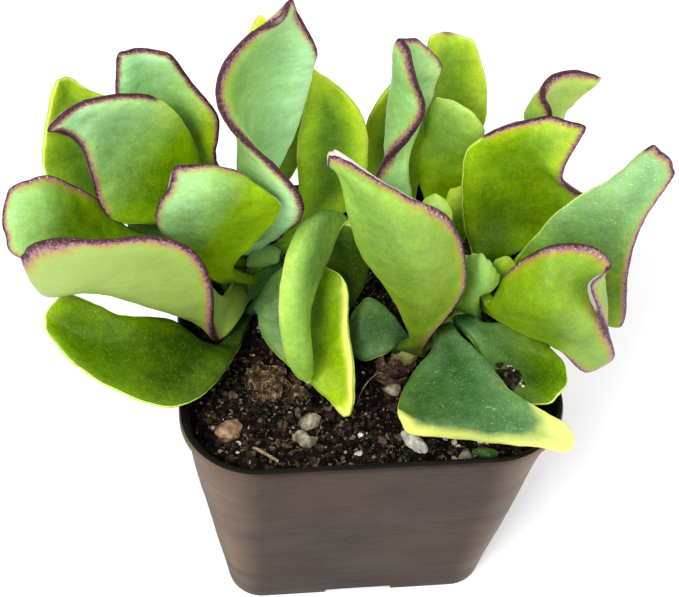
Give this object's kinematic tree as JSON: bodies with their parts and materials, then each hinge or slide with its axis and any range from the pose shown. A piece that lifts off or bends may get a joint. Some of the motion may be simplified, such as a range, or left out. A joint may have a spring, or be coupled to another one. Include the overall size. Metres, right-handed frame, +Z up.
{
  "type": "potted ripple jade plant",
  "caption": "Small ripple jade succulent with wavy fleshy leaves on short stems, growing in potting mix in a thin square nursery pot.",
  "frame": {"origin": "middle of the underside of the pot", "axes": "+Z up, +X to the right and -Y towards the viewer of the front of the pot"},
  "size_m": [0.1064, 0.0646, 0.1177],
  "materials": {
    "pot_plastic": "thin moulded plastic, brown-grey outside with a glossy black lip and inside",
    "potting_mix": "near-black crumbly mix with brown fibre",
    "tan_stone": "rough",
    "grey_stone": "rough",
    "bark": "coarse fibre",
    "dry_fibre": "dry",
    "stem_skin": "smooth olive-green skin, papery at the foot",
    "leaf_lime": "waxy lime-green with a pale or purple margin",
    "leaf_glaucous": "waxy pale blue-green with a purple-brown margin",
    "leaf_dark": "waxy dark green with a yellow-green margin"
  },
  "bodies": {
    "root": {"pot": "pot_plastic", "soil": "potting_mix", "straw": "dry_fibre", "root_thread": "dry_fibre", "stem_left": "stem_skin", "stem_middle": "stem_skin", "stem_back": "stem_skin", "stem_centre": "stem_skin", "stone_tan": "tan_stone", "stone_grey": "grey_stone", "stone_grey_low": "grey_stone", "stone_white": "grey_stone", "stone_back": "grey_stone", "stone_right": "grey_stone", "bark_clump": "bark", "bark_chip": "bark", "leaf_left_far_back": "leaf_lime", "leaf_left_hooked": "leaf_glaucous", "leaf_left_back": "leaf_glaucous", "leaf_left_far": "leaf_lime", "leaf_left_boat": "leaf_glaucous", "leaf_left_low": "leaf_dark", "leaf_left_front": "leaf_lime", "leaf_tall_twisted": "leaf_glaucous", "leaf_centre_back": "leaf_lime", "leaf_behind_tall": "leaf_lime", "leaf_centre_trough": "leaf_dark", "leaf_rear_left": "leaf_lime", "leaf_rear_left_low": "leaf_dark", "leaf_centre_arch": "leaf_lime", "leaf_middle_low": "leaf_dark", "leaf_centre_large": "leaf_glaucous", "leaf_front_right": "leaf_dark", "leaf_right_low": "leaf_dark", "leaf_right_front": "leaf_glaucous", "leaf_right_large": "leaf_glaucous", "leaf_right_round": "leaf_lime", "leaf_right_hook": "leaf_glaucous", "leaf_young_light": "leaf_glaucous", "leaf_young_side": "leaf_lime", "leaf_inner_centre": "leaf_glaucous", "leaf_inner_back": "leaf_lime", "leaf_back_small": "leaf_lime", "leaf_back_tall": "leaf_lime", "leaf_curly": "leaf_glaucous", "leaf_behind_curly": "leaf_lime", "leaf_rear_right": "leaf_lime", "leaf_rear_low": "leaf_dark"}
  },
  "joints": []
}
